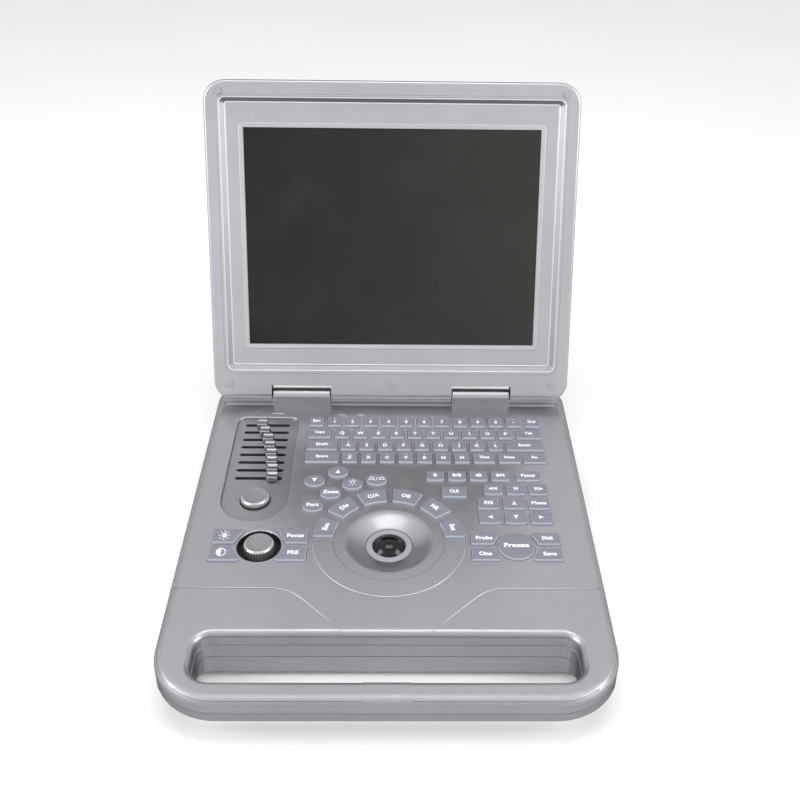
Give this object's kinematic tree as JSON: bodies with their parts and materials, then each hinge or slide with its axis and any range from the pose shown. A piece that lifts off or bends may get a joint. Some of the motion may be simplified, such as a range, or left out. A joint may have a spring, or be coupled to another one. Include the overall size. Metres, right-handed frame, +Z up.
{
  "type": "portable ultrasound scanner",
  "caption": "Laptop-style portable ultrasound scanner with carrying-handle slot, keyboard deck, trackball, slide controls, knobs and a folding display lid on two hinges.",
  "frame": {"origin": "middle of the object's width and depth with the lid at rest, on the plane of the rubber feet", "axes": "+X to the operator's right, +Y from the operator towards the hinge, +Z up"},
  "size_m": [0.383, 0.5026, 0.3841],
  "materials": {
    "shell": "moulded plastic with fine metallic silver-grey paint",
    "lid_shell": "moulded plastic with fine metallic silver-grey paint",
    "underside": "moulded dark grey plastic",
    "keys": "blue-grey moulded key plastic",
    "silver_plastic": "satin silver plastic",
    "ring": "light grey plastic",
    "ball": "polished black resin",
    "dark_plastic": "black moulded plastic",
    "screen": "unlit display surface",
    "rubber": "soft rubber",
    "steel": "zinc-plated steel",
    "aluminium": "machined aluminium",
    "board": "green circuit board",
    "silicone": "translucent silicone"
  },
  "bodies": {
    "base": {"base_screws": "steel", "battery_door": "underside", "battery_pack": "dark_plastic", "fan_housing": "dark_plastic", "heat_sink": "aluminium", "hinge_brackets": "steel", "hinge_covers": "shell", "hinge_pins": "steel", "key_board": "board", "keypad_mat": "silicone", "knob_encoders": "steel", "lower_shell": "shell", "main_board": "board", "power_board": "board", "power_switch": "dark_plastic", "probe_socket": "dark_plastic", "rear_sockets": "dark_plastic", "rubber_feet": "rubber", "slide_pots": "steel", "slider_board": "board", "slider_panel": "shell", "trackball_cup": "dark_plastic", "trackball_ring": "ring", "trackball_sensor": "board", "upper_shell": "shell"},
    "lid": {"lid_bezel": "lid_shell", "lid_back": "lid_shell", "lcd_panel": "dark_plastic", "screen_glass": "screen", "display_board": "board", "lid_bumpers": "rubber", "lid_screws": "steel", "hinge_arms": "steel"},
    "ball": {"trackball": "ball"},
    "fan": {"fan_rotor": "dark_plastic"},
    "gain": {"gain_knob": "silver_plastic"},
    "depth": {"depth_knob": "silver_plastic"},
    "power": {"power_button": "silver_plastic"},
    "slider_1": {"tgc_slider_1": "silver_plastic"},
    "slider_2": {"tgc_slider_2": "silver_plastic"},
    "slider_3": {"tgc_slider_3": "silver_plastic"},
    "slider_4": {"tgc_slider_4": "silver_plastic"},
    "slider_5": {"tgc_slider_5": "silver_plastic"},
    "slider_6": {"tgc_slider_6": "silver_plastic"},
    "slider_7": {"tgc_slider_7": "silver_plastic"},
    "slider_8": {"tgc_slider_8": "silver_plastic"},
    "arc_1": {"arc_key_1": "keys"},
    "arc_2": {"arc_key_2": "keys"},
    "arc_3": {"arc_key_3": "keys"},
    "arc_4": {"arc_key_4": "keys"},
    "arc_5": {"arc_key_5": "keys"},
    "arc_6": {"arc_key_6": "keys"},
    "row_1": {"keyboard_row_1": "keys"},
    "row_2": {"keyboard_row_2": "keys"},
    "row_3": {"keyboard_row_3": "keys"},
    "row_4": {"keyboard_row_4": "keys"},
    "round": {"round_keys": "keys"},
    "function": {"function_keys": "keys"},
    "corner": {"corner_keys": "keys"},
    "freeze": {"freeze_key": "keys"}
  },
  "joints": [
    {"name": "lid_fold", "type": "hinge", "parent": "base", "child": "lid", "pos_m": [0, 0.14602, 0.06307], "axis": [1, 0, 0], "range_deg": [-28, 107]},
    {"name": "ball_roll", "type": "hinge", "parent": "base", "child": "ball", "pos_m": [0, -0.07028, 0.0337], "axis": [1, 0, 0], "continuous": true},
    {"name": "fan_spin", "type": "hinge", "parent": "base", "child": "fan", "pos_m": [-0.14, 0.08972, 0.0134], "axis": [0, 0, 1], "continuous": true},
    {"name": "gain_turn", "type": "hinge", "parent": "base", "child": "gain", "pos_m": [-0.1306, -0.01268, 0.052], "axis": [0, 0, 1], "continuous": true},
    {"name": "depth_turn", "type": "hinge", "parent": "base", "child": "depth", "pos_m": [-0.1192, -0.07838, 0.052], "axis": [0, 0, 1], "continuous": true},
    {"name": "power_press", "type": "slide", "parent": "base", "child": "power", "axis": [1, 0, 0], "range_m": [0, 0.0008]},
    {"name": "slider_1_slide", "type": "slide", "parent": "base", "child": "slider_1", "axis": [1, 0, 0], "range_m": [-0.0157, 0.0267]},
    {"name": "slider_2_slide", "type": "slide", "parent": "base", "child": "slider_2", "axis": [1, 0, 0], "range_m": [-0.0196, 0.0228]},
    {"name": "slider_3_slide", "type": "slide", "parent": "base", "child": "slider_3", "axis": [1, 0, 0], "range_m": [-0.0245, 0.0179]},
    {"name": "slider_4_slide", "type": "slide", "parent": "base", "child": "slider_4", "axis": [1, 0, 0], "range_m": [-0.0273, 0.0151]},
    {"name": "slider_5_slide", "type": "slide", "parent": "base", "child": "slider_5", "axis": [1, 0, 0], "range_m": [-0.0302, 0.0122]},
    {"name": "slider_6_slide", "type": "slide", "parent": "base", "child": "slider_6", "axis": [1, 0, 0], "range_m": [-0.032, 0.0104]},
    {"name": "slider_7_slide", "type": "slide", "parent": "base", "child": "slider_7", "axis": [1, 0, 0], "range_m": [-0.0339, 0.0085]},
    {"name": "slider_8_slide", "type": "slide", "parent": "base", "child": "slider_8", "axis": [1, 0, 0], "range_m": [-0.0351, 0.0073]},
    {"name": "arc_1_press", "type": "slide", "parent": "base", "child": "arc_1", "axis": [0, 0, -1], "range_m": [0, 0.0012]},
    {"name": "arc_2_press", "type": "slide", "parent": "base", "child": "arc_2", "axis": [0, 0, -1], "range_m": [0, 0.0012]},
    {"name": "arc_3_press", "type": "slide", "parent": "base", "child": "arc_3", "axis": [0, 0, -1], "range_m": [0, 0.0012]},
    {"name": "arc_4_press", "type": "slide", "parent": "base", "child": "arc_4", "axis": [0, 0, -1], "range_m": [0, 0.0012]},
    {"name": "arc_5_press", "type": "slide", "parent": "base", "child": "arc_5", "axis": [0, 0, -1], "range_m": [0, 0.0012]},
    {"name": "arc_6_press", "type": "slide", "parent": "base", "child": "arc_6", "axis": [0, 0, -1], "range_m": [0, 0.0012]},
    {"name": "row_1_press", "type": "slide", "parent": "base", "child": "row_1", "axis": [0, 0, -1], "range_m": [0, 0.0012]},
    {"name": "row_2_press", "type": "slide", "parent": "base", "child": "row_2", "axis": [0, 0, -1], "range_m": [0, 0.0012]},
    {"name": "row_3_press", "type": "slide", "parent": "base", "child": "row_3", "axis": [0, 0, -1], "range_m": [0, 0.0012]},
    {"name": "row_4_press", "type": "slide", "parent": "base", "child": "row_4", "axis": [0, 0, -1], "range_m": [0, 0.0012]},
    {"name": "round_press", "type": "slide", "parent": "base", "child": "round", "axis": [0, 0, -1], "range_m": [0, 0.0012]},
    {"name": "function_press", "type": "slide", "parent": "base", "child": "function", "axis": [0, 0, -1], "range_m": [0, 0.0012]},
    {"name": "corner_press", "type": "slide", "parent": "base", "child": "corner", "axis": [0, 0, -1], "range_m": [0, 0.0012]},
    {"name": "freeze_press", "type": "slide", "parent": "base", "child": "freeze", "axis": [0, 0, -1], "range_m": [0, 0.0012]}
  ]
}
